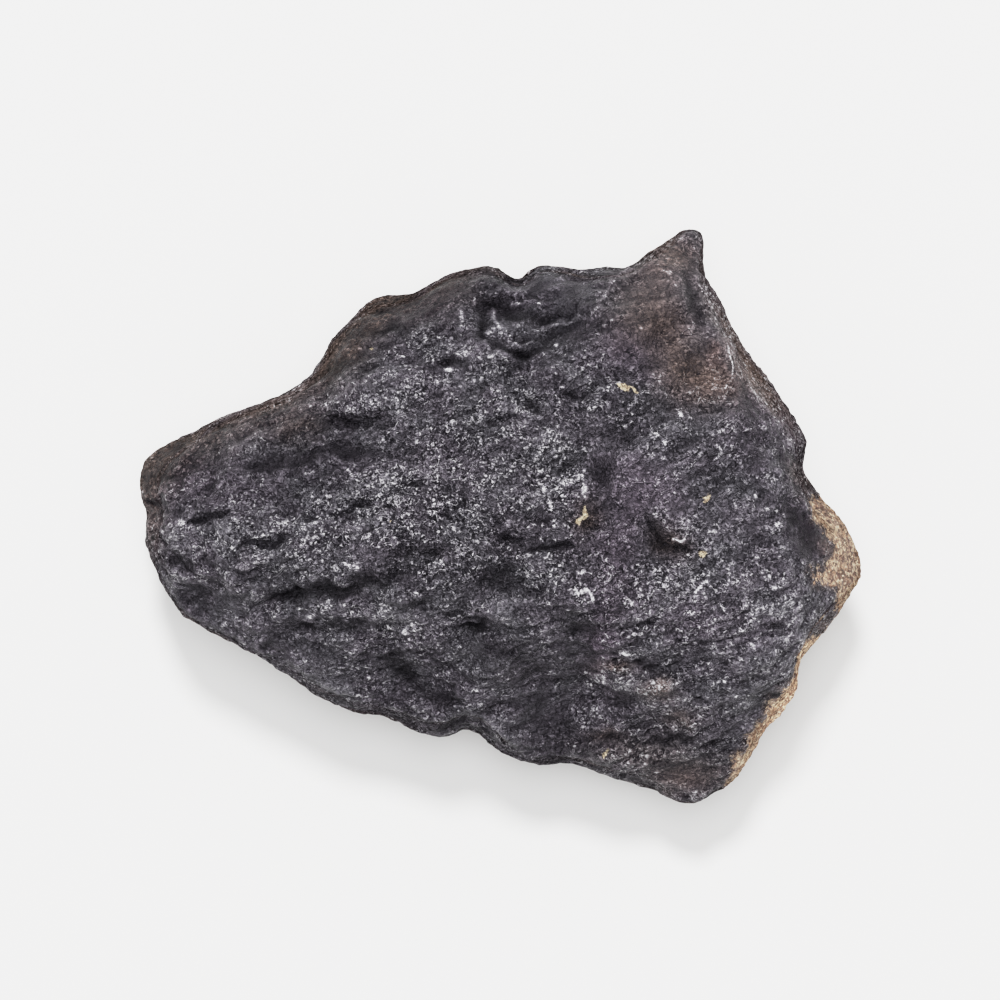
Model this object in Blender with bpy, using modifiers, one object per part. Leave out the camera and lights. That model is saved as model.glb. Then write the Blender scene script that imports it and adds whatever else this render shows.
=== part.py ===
"""A crusted stony meteorite, one solid piece, lying on its flattest side.

The stone is described as its finder would measure it: an outline seen from above, the faces that
bound its upper and under sides, the hollows and lumps melted into them, and the corner and edge
where it broke. Lengths below are in millimetres, seen from above with +X right, +Y away and +Z up,
and heights are above the surface it lies on. Blender gets metres.
"""

import math

import bpy
import bmesh
import numpy as np

MM = 0.001

# The outline from above, anticlockwise from the tip of the horn.
OUTLINE = [
    (14.2, 20.6), (13.6, 20.9), (12.9, 20.7), (12.2, 20.1), (10.9, 19.4), (9.9, 18.6),
    (8.7, 17.8), (7.9, 18.1), (5.6, 17.7), (2.9, 18.2), (1.9, 17.6), (1.4, 16.9),
    (0.6, 17.2), (-0.3, 17.8), (-1.4, 18.0), (-4.3, 17.2), (-6.3, 16.1), (-7.9, 15.9),
    (-9.6, 15.4), (-12.4, 12.5), (-13.1, 11.0), (-14.7, 9.4), (-17.3, 8.3), (-21.0, 6.8),
    (-22.3, 6.0), (-24.4, 5.2), (-26.1, 3.4), (-26.0, 1.0), (-25.5, 0.2), (-25.8, -1.5),
    (-25.1, -3.5), (-23.4, -6.6), (-22.3, -7.5), (-19.2, -9.0), (-17.0, -10.4), (-14.5, -12.1),
    (-11.3, -13.9), (-8.3, -14.4), (-5.0, -15.9), (-3.9, -15.9), (-2.8, -15.3), (-2.1, -15.4),
    (0.1, -17.1), (3.0, -17.9), (4.7, -17.8), (7.6, -19.0), (10.8, -19.8), (12.7, -20.8),
    (14.3, -20.9), (15.3, -20.0), (16.7, -19.5), (18.7, -16.1), (19.0, -15.2), (20.2, -14.6),
    (21.5, -12.3), (21.3, -10.4), (22.7, -9.1), (24.6, -6.7), (24.9, -5.8), (26.0, -4.7),
    (26.3, -3.9), (25.2, -1.1), (23.2, 1.3), (21.5, 3.3), (21.8, 5.3), (20.8, 7.2),
    (18.0, 11.2), (16.3, 13.8), (15.7, 15.3), (14.3, 17.5), (14.5, 19.8),
]

# The widest line of the stone stands this high, and waves up and down by these amounts.
RIM_HEIGHT = 10.5
RIM_WAVES = [(2, 1.0, 20.0), (3, 0.8, 100.0), (5, 0.5, 200.0)]  # waves round, height, degrees

# The wall starts a little outside the outline, because rounding its edges brings it back.
WALL_GROWTH = 0.06

# Away from the widest line the wall draws in, and its outline loses the small corners.
WALL_DRAW_IN = 2.2
WALL_DRAW_REACH = 8.0  # the height above or below the rim where it has drawn in that far
WALL_SMOOTHING = 0.16  # how far round, in radians, the small corners are evened out

# Faces: a point on the face (x, y, height), the bearing it falls towards (0 is +X, 90 is +Y)
# and how steep it is, both in degrees. An under face rises towards its bearing instead.
UPPER_FACES = {
    "broad face": ((0.0, -5.0, 23.0), 104, 11),
    "upper left slope": ((-15.5, 5.4, 18.6), 120, 40),
    "lower left flank": ((-11.0, -4.9, 21.8), -112, 41),
    "left end": ((-21.5, -1.0, 19.2), 184, 33),
    "right face": ((9.0, -3.0, 23.0), -16, 8),
    "right hand end": ((18.0, 0.0, 21.9), 2, 22),
    "bottom scarp": ((3.0, -7.2, 22.2), -90, 41),
    "bottom right steps": ((12.0, -9.0, 22.2), -80, 23),
    "horn side": ((15.6, 13.4, 18.8), 30, 63),
    "horn back": ((8.6, 17.3, 18.4), 100, 54),
    "right shoulder": ((20.6, 5.0, 19.4), 10, 60),
    "chipped corner": ((22.3, -1.5, 19.6), -10, 48),
    "broken edge": ((19.4, -13.4, 18.0), -33, 76),
    "top edge": ((0.0, 15.4, 18.8), 92, 48),
}
UNDER_FACES = {
    "base": ((0.0, 0.0, -1.0), 0, 0),
    "left underside": ((-12.0, 0.0, 0.0), 174, 25),
    "far underside": ((-3.0, 10.0, 0.0), 104, 39),
    "near underside": ((-2.0, -9.0, 0.0), -103, 38),
    "right underside": ((15.5, 1.0, 0.0), 4, 34),
    "horn underside": ((9.2, 11.2, 0.0), 58, 40),
    "broken underside": ((13.0, -11.0, 0.0), -48, 40),
}
UPPER_EDGE_RADIUS = 0.7  # how softly two upper faces meet
UNDER_EDGE_RADIUS = 1.8
WALL_EDGE_RADIUS = 0.5

# Hollows melted into the upper side: x, y, half length, half width, bearing, depth.
HOLLOWS = [
    (12.6, 11.6, 3.2, 2.0, 115, 1.6),  # the scoop under the horn
    (1.8, 14.0, 3.6, 1.5, -4, 1.9),  # the dent behind the notch
    (2.6, 11.6, 3.4, 0.8, 36, 0.8),  # the valley out of the dent
    (1.3, 17.5, 1.3, 0.8, 85, 1.8),  # the notch
    (13.6, 16.2, 2.6, 0.6, -74, 0.7),  # the groove beside the horn's ridge
    (3.2, -13.8, 3.0, 3.6, 0, 1.4),  # the smooth bowl at the bottom
    (13.3, -18.6, 2.6, 1.3, 5, 0.9),  # the hollow at the bottom tip
    (8.3, -13.4, 1.6, 1.2, 20, 0.8),
    (10.6, -15.1, 2.0, 0.9, 0, 0.6),
    (0.4, -4.6, 2.6, 1.1, 2, 0.9),
    (-10.0, 4.3, 2.6, 1.0, 5, 0.9),
    (-10.4, 6.3, 2.2, 0.6, 3, 0.9),
    (-21.4, -5.8, 2.3, 1.5, -20, 0.8),
    (-15.6, -5.6, 1.9, 0.8, 32, 0.9),
    (-11.4, -5.4, 3.4, 0.9, 4, 0.8),
    (-13.6, -8.0, 3.0, 0.9, -6, 0.7),
    (-7.4, -11.0, 2.6, 1.2, -30, 0.6),
    (-8.2, -8.6, 2.2, 0.9, 8, 0.5),
    (-23.2, -3.1, 1.9, 0.6, -4, 0.5),
    (-17.0, 3.4, 2.6, 1.3, 8, 0.4),
    (-5.4, -2.6, 3.0, 0.7, 0, 0.5),
    (-1.6, -7.7, 2.0, 0.7, -6, 0.6),
    (5.4, -8.4, 1.6, 1.2, -60, 0.8),
    (9.0, 6.2, 1.7, 1.4, 20, 0.6),
    (7.0, 3.2, 2.2, 0.9, 85, 0.5),
    (11.2, -1.6, 2.0, 0.8, -48, 0.6),
    (7.3, -0.9, 1.4, 0.6, -8, 0.4),
    (1.9, 7.9, 1.3, 0.8, 0, 0.4),
    (2.6, 2.6, 3.4, 0.8, 20, 0.4),
    (-17.0, -1.5, 2.0, 0.7, 0, 0.4),
    (21.4, -1.0, 1.9, 0.8, -62, 0.5),
    (10.2, -10.3, 2.6, 0.6, -6, 0.5),
    (-7.0, 11.0, 2.4, 0.7, 20, 0.4),
    (-25.4, 0.3, 1.4, 0.6, 5, 0.5),
]

# Lumps standing on the upper side, in the same order: the last value is their height.
LUMPS = [
    (-10.2, 8.9, 2.1, 1.8, 0, 1.0),
    (0.7, 13.6, 1.5, 0.8, -10, 0.7),
    (3.2, 9.7, 1.5, 1.3, 0, 0.6),
    (5.0, -6.0, 1.5, 1.3, -20, 0.7),
    (-1.6, 17.2, 2.0, 0.9, -5, 0.7),
    (3.4, 17.2, 1.5, 0.9, 0, 0.7),
    (7.6, 17.2, 1.4, 0.8, 0, 0.3),
    (16.2, 11.2, 2.4, 0.6, -80, 0.7),  # the ridge down from the horn
    (7.2, 15.8, 2.6, 0.5, 60, 0.5),  # the ridge on its left
    (8.4, -6.5, 1.4, 1.1, 30, 0.4),
    (-7.6, -6.4, 1.6, 0.8, 10, 0.4),
    (-14.0, -2.9, 2.4, 0.9, 8, 0.4),
    (-9.2, -0.6, 2.2, 1.0, 15, 0.4),
    (-12.0, 2.2, 1.8, 0.8, 20, 0.4),
    (-0.6, -2.8, 1.5, 0.8, 5, 0.4),
    (0.0, -10.6, 1.8, 1.2, 20, 0.5),
    (-1.4, -14.6, 2.6, 0.6, -48, 0.5),
    (-5.6, -5.6, 1.6, 0.6, -15, 0.3),
    (8.2, -17.2, 2.6, 0.8, -8, 0.4),
    (9.6, -11.9, 2.8, 0.6, -4, 0.4),
    (-5.4, 12.9, 2.0, 1.2, 15, 0.4),
    (15.4, -15.0, 2.0, 0.8, -20, 0.3),
]

SPOT_FOOT = 1.7  # a spot fades out this many of its half lengths and widths from its middle

# Small pits all over the upper side, drawn out along the way the melt flowed.
PITS = 190
PIT_RADIUS = (0.9, 2.0)
PIT_DEPTH = (0.2, 0.62)
PIT_LENGTH = 1.6  # times its width
FLOW_BEARING = 20
PIT_SEED = 5

# Thumb marks over the walls and the under side, which nothing else describes.
THUMB_MARKS = 120
THUMB_RADIUS = (2.2, 4.8)
THUMB_DEPTH = (0.3, 1.1)
THUMB_SEED = 11
THUMB_FADE = 3.0  # the marks fade out this near to the widest line and to the resting face

CENTRE_HEIGHT = 11.0  # the rough form is drawn in towards this height on the axis
SEARCH_REACH = 40.0  # farther than any point of the stone
SEARCH_STEPS = 30
CUBE_CUTS = 63  # grid lines across each side of the cube that the rough form starts from
WORKING_GRAIN = 0.6  # side of the faces that the relief is melted into
FACE_COUNT = 9600  # triangles that the finished stone is made of
SPLINE_STEPS = 12  # points read from the outline's curve for each of its own
BASE_CUT = 0.0  # the resting face is cut flat at this height

CRUST_COLOUR = (0.045, 0.042, 0.046, 1.0)
CRUST_ROUGHNESS = 0.55


def clear_scene():
    for leftover in list(bpy.data.objects):
        bpy.data.objects.remove(leftover)


def outline_curve():
    """The outline as a smooth closed curve: bearings in order, and the radius at each."""
    points = np.array(OUTLINE)
    before, after = np.roll(points, 1, axis=0), np.roll(points, -1, axis=0)
    second = np.roll(points, -2, axis=0)
    steps = np.arange(SPLINE_STEPS) / SPLINE_STEPS
    curve = []
    for t in steps:
        curve.append(
            0.5 * (2 * points + (after - before) * t
                   + (2 * before - 5 * points + 4 * after - second) * t**2
                   + (3 * points - before - 3 * after + second) * t**3)
        )
    curve = np.stack(curve, axis=1).reshape(-1, 2)
    bearing = np.arctan2(curve[:, 1], curve[:, 0])
    order = np.argsort(bearing)
    return bearing[order], np.hypot(curve[:, 0], curve[:, 1])[order]


def even_out(bearing, radius):
    """The same outline without its small corners."""
    around = np.linspace(-math.pi, math.pi, 721)[:-1]
    on_grid = np.interp(around, bearing, radius, period=2 * math.pi)
    gap = (around[:, None] - around[None, :] + math.pi) % (2 * math.pi) - math.pi
    share = np.exp(-((gap / WALL_SMOOTHING) ** 2))
    return around, share @ on_grid / share.sum(axis=1)


def rim_height(bearing):
    height = np.full_like(bearing, RIM_HEIGHT)
    for count, amount, start in RIM_WAVES:
        height += amount * np.cos(count * (bearing - math.radians(start)))
    return height


def outside_wall(x, y, z, curve, even_curve):
    """How far the points lie outside the wall, which runs round the stone under its outline."""
    bearing = np.arctan2(y, x)
    away = np.clip(np.abs(z - rim_height(bearing)) / WALL_DRAW_REACH, 0, 1.5) ** 2
    radius = np.interp(bearing, *curve, period=2 * math.pi)
    even = np.interp(bearing, *even_curve, period=2 * math.pi) - WALL_DRAW_IN
    return np.hypot(x, y) - WALL_GROWTH - radius - (even - radius) * away


def outside_face(x, y, z, face, side):
    """How far the points lie outside one face: side is 1 for an upper face, -1 for an under one."""
    (px, py, pz), bearing, steepness = face
    towards, steep = math.radians(bearing), math.radians(steepness)
    run = (x - px) * math.cos(towards) + (y - py) * math.sin(towards)
    return side * (z - pz) * math.cos(steep) + run * math.sin(steep)


def rounded_highest(distances, radius):
    """The highest of the distances, eased so that the surfaces they belong to meet in a curve."""
    return radius * np.log(sum(np.exp(distance / radius) for distance in distances))


def outside(x, y, z, curve, even_curve):
    """How far the points lie outside the stone, below zero inside it."""
    upper = [outside_face(x, y, z, face, 1) for face in UPPER_FACES.values()]
    under = [outside_face(x, y, z, face, -1) for face in UNDER_FACES.values()]
    sides = [
        rounded_highest(upper, UPPER_EDGE_RADIUS),
        rounded_highest(under, UNDER_EDGE_RADIUS),
        outside_wall(x, y, z, curve, even_curve),
    ]
    return rounded_highest(sides, WALL_EDGE_RADIUS)


def read_points(mesh):
    points = np.empty(len(mesh.vertices) * 3)
    mesh.vertices.foreach_get("co", points)
    return points.reshape(-1, 3)


def read_normals(mesh):
    normals = np.empty(len(mesh.vertices) * 3)
    mesh.vertices.foreach_get("normal", normals)
    return normals.reshape(-1, 3)


def rough_form(collection):
    """A cube swollen to a sphere, each of whose points is then drawn in to the stone's faces."""
    form = bmesh.new()
    bmesh.ops.create_cube(form, size=2.0)
    bmesh.ops.subdivide_edges(form, edges=form.edges[:], cuts=CUBE_CUTS, use_grid_fill=True)
    mesh = bpy.data.meshes.new("meteorite")
    form.to_mesh(mesh)
    form.free()

    direction = np.tan(read_points(mesh) * math.pi / 4)  # evens out the squares on the sphere
    direction /= np.linalg.norm(direction, axis=1, keepdims=True)
    curve = outline_curve()
    even_curve = even_out(*curve)
    near, far = np.zeros(len(direction)), np.full(len(direction), SEARCH_REACH)
    for _ in range(SEARCH_STEPS):
        middle = (near + far) / 2
        x, y, z = (direction * middle[:, None] + (0, 0, CENTRE_HEIGHT)).T
        is_inside = outside(x, y, z, curve, even_curve) < 0
        near, far = np.where(is_inside, middle, near), np.where(is_inside, far, middle)
    points = direction * near[:, None] + (0, 0, CENTRE_HEIGHT)
    mesh.vertices.foreach_set("co", (points * MM).ravel())
    stone = bpy.data.objects.new("meteorite", mesh)
    collection.objects.link(stone)
    return stone


def bake_modifiers(stone):
    graph = bpy.context.evaluated_depsgraph_get()
    mesh = bpy.data.meshes.new_from_object(stone.evaluated_get(graph))
    stone.modifiers.clear()
    stone.data = mesh


def even_faces(stone):
    """Rebuilds the surface in squares of one size, so that relief shows alike everywhere."""
    remesh = stone.modifiers.new("even faces", "REMESH")
    remesh.mode = "VOXEL"
    remesh.voxel_size = WORKING_GRAIN * MM
    bake_modifiers(stone)


def spot_relief(x, y, spots):
    """The sum of oval spots, each as high in its middle as its last value."""
    height = np.zeros_like(x)
    for px, py, length, width, bearing, amount in spots:
        turn = math.radians(bearing)
        along = (x - px) * math.cos(turn) + (y - py) * math.sin(turn)
        across = (y - py) * math.cos(turn) - (x - px) * math.sin(turn)
        share = (along / length) ** 2 + (across / width) ** 2
        height += amount * np.clip(1 - share / SPOT_FOOT**2, 0, 1) ** 2
    return height


def thumb_relief(points, places, random):
    """Shallow round marks, each sunk around one of the places."""
    height = np.zeros(len(points))
    for place in places:
        radius = random.uniform(*THUMB_RADIUS)
        depth = random.uniform(*THUMB_DEPTH)
        share = np.linalg.norm(points - place, axis=1) / radius
        height -= depth * np.clip(1 - share**2, 0, 1) ** 1.5
    return height


def pits(points, facing_up):
    """The small pits, as spots, in places drawn from the upper side."""
    random = np.random.default_rng(PIT_SEED)
    places = points[random.permutation(np.flatnonzero(facing_up > 0.5))[:PITS]]
    for x, y, _ in places:
        width = random.uniform(*PIT_RADIUS)
        bearing = FLOW_BEARING + random.normal(0, 18)
        yield x, y, width * PIT_LENGTH, width, bearing, random.uniform(*PIT_DEPTH)


def melt_relief(stone):
    """Sinks the hollows, pits and thumb marks into the faces and raises the lumps."""
    mesh = stone.data
    points, normals = read_points(mesh) / MM, read_normals(mesh)
    facing_up = np.clip((normals[:, 2] - 0.1) / 0.5, 0, 1)
    random = np.random.default_rng(THUMB_SEED)
    places = points[random.permutation(np.flatnonzero(facing_up < 0.5))[:THUMB_MARKS]]
    x, y, z = points.T
    sunk = spot_relief(x, y, HOLLOWS) + spot_relief(x, y, pits(points, facing_up))
    from_edges = np.minimum(np.abs(z - rim_height(np.arctan2(y, x))), z - BASE_CUT)
    thumbed = np.clip(from_edges / THUMB_FADE, 0, 1) * thumb_relief(points, places, random)
    points[:, 2] += facing_up * (spot_relief(x, y, LUMPS) - sunk)
    points += normals * ((1 - facing_up) * thumbed)[:, None]
    mesh.vertices.foreach_set("co", (points * MM).ravel())
    mesh.update()


def thin_faces(stone):
    """Leaves the finished number of faces, most of them on the ridges and ledges."""
    thin = stone.modifiers.new("thin faces", "DECIMATE")
    thin.ratio = FACE_COUNT / (2 * len(stone.data.polygons))
    bake_modifiers(stone)


def cut_base(stone):
    """Takes the underside off level, which leaves the face that the stone rests on."""
    form = bmesh.new()
    form.from_mesh(stone.data)
    everything = form.verts[:] + form.edges[:] + form.faces[:]
    cut = bmesh.ops.bisect_plane(
        form, geom=everything, plane_co=(0, 0, BASE_CUT * MM), plane_no=(0, 0, -1),
        clear_outer=True,
    )
    edges = [item for item in cut["geom_cut"] if isinstance(item, bmesh.types.BMEdge)]
    bmesh.ops.holes_fill(form, edges=edges, sides=0)
    bmesh.ops.recalc_face_normals(form, faces=form.faces[:])
    form.to_mesh(stone.data)
    form.free()


def stand_on_origin(stone):
    """Puts the middle of the stone's box over the origin, and its resting face at zero."""
    points = read_points(stone.data)
    low, high = points.min(axis=0), points.max(axis=0)
    points -= ((low[0] + high[0]) / 2, (low[1] + high[1]) / 2, low[2])
    stone.data.vertices.foreach_set("co", points.ravel())
    stone.data.update()


def crust_material():
    crust = bpy.data.materials.new("fusion crust")
    crust.use_nodes = True
    shader = crust.node_tree.nodes["Principled BSDF"]
    shader.inputs["Base Color"].default_value = CRUST_COLOUR
    shader.inputs["Roughness"].default_value = CRUST_ROUGHNESS
    shader.inputs["Metallic"].default_value = 0.0
    return crust


def build():
    clear_scene()
    collection = bpy.data.collections.new("meteorite")
    bpy.context.scene.collection.children.link(collection)
    stone = rough_form(collection)
    even_faces(stone)
    melt_relief(stone)
    thin_faces(stone)
    cut_base(stone)
    stand_on_origin(stone)
    stone.data.materials.clear()
    stone.data.materials.append(crust_material())
    stone.data.shade_smooth()


build()
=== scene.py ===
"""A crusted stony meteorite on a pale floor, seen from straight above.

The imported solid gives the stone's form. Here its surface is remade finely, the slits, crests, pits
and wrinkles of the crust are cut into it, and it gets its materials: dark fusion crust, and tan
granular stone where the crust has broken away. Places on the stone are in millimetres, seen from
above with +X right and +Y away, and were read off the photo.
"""

import math

import bpy
import numpy as np
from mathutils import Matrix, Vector, noise


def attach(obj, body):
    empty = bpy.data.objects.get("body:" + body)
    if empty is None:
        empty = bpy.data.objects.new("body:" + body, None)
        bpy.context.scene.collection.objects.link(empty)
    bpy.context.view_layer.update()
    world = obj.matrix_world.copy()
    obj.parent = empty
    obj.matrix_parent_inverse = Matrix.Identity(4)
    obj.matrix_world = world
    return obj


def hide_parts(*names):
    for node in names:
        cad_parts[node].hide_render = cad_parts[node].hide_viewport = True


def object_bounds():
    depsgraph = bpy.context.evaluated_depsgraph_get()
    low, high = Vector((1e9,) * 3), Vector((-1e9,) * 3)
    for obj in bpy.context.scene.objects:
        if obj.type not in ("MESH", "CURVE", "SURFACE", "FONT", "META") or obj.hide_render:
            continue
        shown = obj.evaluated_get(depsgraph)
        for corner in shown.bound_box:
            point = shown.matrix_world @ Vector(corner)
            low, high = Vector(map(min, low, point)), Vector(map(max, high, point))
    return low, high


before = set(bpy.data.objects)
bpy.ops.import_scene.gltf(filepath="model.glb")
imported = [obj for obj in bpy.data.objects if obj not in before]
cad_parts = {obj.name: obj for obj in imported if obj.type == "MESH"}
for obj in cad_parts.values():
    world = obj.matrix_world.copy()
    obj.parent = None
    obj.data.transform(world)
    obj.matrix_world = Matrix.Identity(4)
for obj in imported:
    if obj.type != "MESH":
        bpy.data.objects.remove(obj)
CAD_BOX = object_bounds()

MM = 0.001
NODE = "meteorite"

# The finely remade surface.
FINE_GRAIN = 0.14  # side of its faces while it is carved
SMOOTHING_ROUNDS = 22  # takes the solid's facets off
FACE_COUNT = 194000  # triangles kept in all
LOW_FACE_COUNT = 52000  # triangles kept on the underside and under the overhangs
LOW_NORMAL = 0.1  # a face counts as low where its normal rises less than this
MARKED_FROM = 0.05  # a painted glint, a scratch or a speck keeps its faces from this strength on

# Slits in the upper side, narrow, and painted dark as the shade in them: depth, half width, and the line that
# the slit follows.
SLITS = [
    # the left end
    (0.50, 0.22, [(-22.0, -0.5), (-21.3, -0.4), (-20.6, -0.2), (-19.3, 0.4)]),
    (0.75, 0.32, [(-18.2, -1.7), (-17.0, -1.9), (-16.0, -1.9), (-15.2, -1.7)]),
    (0.25, 0.12, [(-17.9, -0.6), (-17.3, -0.4)]),
    (0.25, 0.12, [(-16.0, 0.1), (-15.2, 0.1), (-14.5, 0.3)]),
    (0.50, 0.18, [(-25.4, 1.2), (-24.0, 1.2)]),
    (0.50, 0.20, [(-25.3, -1.7), (-24.0, -1.7)]),
    (0.20, 0.12, [(-21.6, 3.1), (-20.4, 3.1)]),
    (0.55, 0.26, [(-11.9, 0.1), (-10.6, 0.5), (-9.2, 0.9)]),
    (0.25, 0.22, [(-12.9, 7.5), (-11.8, 6.9), (-10.8, 6.5), (-9.8, 6.5), (-8.5, 7.0)]),
    (0.25, 0.12, [(-12.0, 6.3), (-11.6, 5.9), (-11.3, 5.3), (-10.8, 5.2)]),
    (0.35, 0.13, [(-9.2, 5.4), (-8.6, 5.7), (-7.9, 5.7), (-7.6, 5.5)]),
    (0.20, 0.14, [(-9.7, 14.7), (-8.6, 14.9)]),
    # the middle
    (0.38, 0.20, [(-8.0, 1.4), (-6.6, 2.1), (-5.5, 2.3)]),
    (0.36, 0.22, [(-4.5, 0.1), (-3.2, -0.2), (-2.4, -0.5)]),
    (0.25, 0.14, [(-0.8, 6.8), (1.0, 6.9)]),
    (0.22, 0.14, [(-1.5, 5.3), (0.7, 5.4)]),
    (0.26, 0.20, [(2.2, 2.6), (3.2, 2.9), (4.4, 3.6), (5.6, 4.0)]),
    (0.28, 0.26, [(-2.1, -1.2), (-0.1, -1.4), (1.6, -1.5)]),
    (0.30, 0.22, [(2.2, -2.2), (3.8, -2.1), (5.1, -1.7)]),
    (0.30, 0.18, [(2.3, -0.4), (3.3, -0.3)]),
    (0.28, 0.20, [(6.3, -0.9), (7.1, -1.1), (8.3, -1.2)]),
    (0.25, 0.12, [(9.1, 0.4), (9.2, -0.4), (8.8, -0.9)]),
    (0.30, 0.22, [(10.1, -0.1), (10.9, -0.9), (11.8, -2.0), (13.0, -2.4)]),
    (0.22, 0.14, [(10.8, -2.9), (12.3, -3.1)]),
    (0.25, 0.14, [(15.0, 3.0), (15.1, 2.1)]),
    # the dent behind the notch
    (0.20, 0.45, [(-1.2, 15.4), (-0.5, 15.1), (0.2, 14.5), (1.0, 14.1)]),
    (0.18, 0.38, [(1.0, 14.1), (2.1, 14.4), (2.8, 14.0), (3.7, 14.2)]),
    (0.26, 0.30, [(-1.5, 14.6), (-1.3, 13.8), (-1.4, 12.9), (-0.7, 12.2), (0.6, 11.8), (1.8, 11.3)]),
    (0.35, 0.11, [(0.8, 12.9), (1.1, 12.5), (1.5, 12.8), (2.2, 12.7), (2.6, 13.0)]),
    (0.38, 0.12, [(4.0, 13.95), (4.6, 14.0), (5.0, 14.2), (5.4, 14.6)]),
    (0.25, 0.13, [(0.9, 11.3), (1.5, 11.6)]),
    (0.22, 0.16, [(4.7, 11.0), (5.1, 10.5)]),
    (0.30, 0.18, [(0.2, 17.0), (0.9, 16.7), (1.6, 16.8)]),
    (0.22, 0.11, [(2.1, 15.8), (2.7, 15.7)]),
    (0.22, 0.11, [(3.8, 15.8), (4.5, 15.8)]),
    (0.25, 0.16, [(-3.9, 10.8), (-2.4, 10.9)]),
    (0.25, 0.20, [(4.0, 8.8), (5.4, 8.5)]),
    (0.22, 0.12, [(-6.2, 13.6), (-4.8, 13.4)]),
    # the lower left flank
    (0.35, 0.20, [(-16.4, -5.9), (-15.2, -5.2), (-14.3, -5.0)]),
    (0.30, 0.12, [(-1.3, -9.0), (-1.05, -9.5)]),
    # the lower right steps
    (0.22, 0.13, [(10.9, -11.2), (11.6, -11.5), (12.5, -11.3)]),
    (0.22, 0.13, [(13.3, -9.1), (13.1, -9.9), (12.6, -10.5)]),
    (0.30, 0.14, [(12.3, -8.4), (12.9, -8.9), (13.9, -8.9), (14.8, -8.9), (15.4, -8.8)]),
    (0.25, 0.13, [(12.4, -7.2), (13.4, -7.3), (13.8, -7.8)]),
    (0.30, 0.13, [(13.9, -13.0), (14.8, -13.2), (15.6, -13.3), (16.0, -13.9)]),
    (0.25, 0.13, [(16.2, -13.5), (17.7, -13.8)]),
    (0.18, 0.24, [(7.0, -15.8), (10.0, -16.1), (12.8, -16.0), (15.5, -16.4)]),
    (0.25, 0.14, [(15.6, -17.0), (16.7, -16.9)]),
    (0.25, 0.14, [(18.0, -10.6), (19.3, -10.6), (20.5, -11.0)]),
    (0.20, 0.12, [(7.4, -8.7), (8.4, -8.5)]),
    (0.20, 0.12, [(7.4, -11.4), (8.2, -11.6)]),
]

# Valleys in the upper side, wide and soft, in the same order.
VALLEYS = [
    (0.28, 0.62, [
        (5.7, 13.7), (4.4, 13.2), (3.2, 12.6), (2.2, 11.5), (1.1, 10.7), (0.2, 10.4), (-0.8, 10.2),
    ]),
    (0.18, 0.90, [(6.9, 8.0), (7.2, 5.0), (6.7, 1.5), (6.6, -1.5), (6.0, -4.0)]),
    (0.20, 1.00, [(5.6, -6.5), (6.3, -8.5), (5.6, -11.0)]),
    (0.30, 0.45, [(13.6, 18.6), (13.4, 16.6), (14.0, 15.4), (14.4, 14.2)]),
    (0.25, 0.50, [(-24.5, -3.3), (-23.0, -3.3), (-21.0, -3.4)]),
    (0.30, 0.70, [(-17.2, -6.3), (-15.5, -5.3), (-13.5, -4.9), (-10.5, -5.4)]),
    (0.25, 0.60, [(-15.0, -8.0), (-12.5, -7.9), (-10.0, -8.1)]),
]

# Crests on the upper side, in the same order with their height first.
CRESTS = [
    (0.28, 0.30, [(-2.9, 13.6), (-2.8, 14.7), (-2.0, 15.5), (-0.9, 15.9), (0.3, 16.1), (1.6, 15.9)]),
    (0.35, 0.24, [(-0.6, 14.5), (-0.4, 13.9), (-0.1, 13.3), (0.3, 12.9)]),
    (0.35, 0.30, [(0.3, 13.8), (0.8, 13.9), (1.2, 13.4)]),
    (0.25, 0.30, [(1.8, 13.9), (2.4, 13.5)]),
    (0.32, 0.16, [(2.8, 13.4), (3.8, 13.7), (4.6, 13.6), (5.1, 14.0), (5.6, 14.4)]),
    (0.25, 0.50, [(0.1, 11.5), (0.6, 11.1)]),
    (0.28, 0.10, [(6.8, 14.9), (7.4, 15.8), (8.0, 16.8), (8.6, 17.4), (9.4, 18.1)]),
    (0.25, 0.34, [(15.0, 15.5), (15.8, 13.5), (16.5, 11.5), (17.6, 9.8), (19.2, 7.4), (20.6, 5.2)]),
    (0.30, 0.34, [(-17.5, -5.3), (-17.2, -6.8), (-17.3, -10.0)]),
    (0.28, 0.30, [(-22.1, 0.0), (-20.6, 0.8), (-19.4, 1.3), (-17.8, 2.8)]),
    (0.22, 0.24, [(8.2, -5.6), (9.0, -5.8), (9.5, -6.4)]),
    (0.28, 0.34, [(7.0, -11.8), (12.5, -12.1)]),
    (0.32, 0.32, [(-1.0, -14.5), (1.0, -17.0)]),
    (0.30, 0.45, [(-11.5, -4.2), (-11.2, -4.4)]),
    (0.25, 0.20, [(-9.4, -4.9), (-8.9, -5.3), (-8.5, -4.9)]),
    (0.25, 0.16, [(-12.3, 6.4), (-11.7, 6.2), (-11.4, 5.6)]),
    (0.30, 0.14, [(-9.8, 5.2), (-9.0, 5.2), (-7.7, 5.2), (-7.3, 5.6)]),
]

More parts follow.
